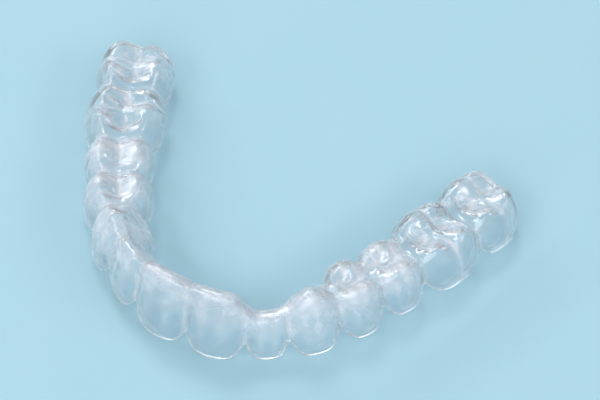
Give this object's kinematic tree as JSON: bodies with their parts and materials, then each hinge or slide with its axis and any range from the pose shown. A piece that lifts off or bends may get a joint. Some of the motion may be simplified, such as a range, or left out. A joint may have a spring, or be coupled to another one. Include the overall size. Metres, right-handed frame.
{
  "type": "clear aligner",
  "caption": "Clear shell for the upper teeth: one thin sheet formed over a horseshoe of crowns, open below along a scalloped gum line, worn to move or hold the teeth.",
  "frame": {"origin": "middle of the bounding box, at the height of the cut edge that the shell lies on", "axes": "+Z from the gum side to the biting side; -Y towards the front teeth; +X towards the wearer's right, along the longest extent"},
  "size_m": [0.0706, 0.0456, 0.0115],
  "materials": {
    "clear_polyurethane": "glossy"
  },
  "bodies": {
    "root": {"aligner": "clear_polyurethane"}
  },
  "joints": []
}
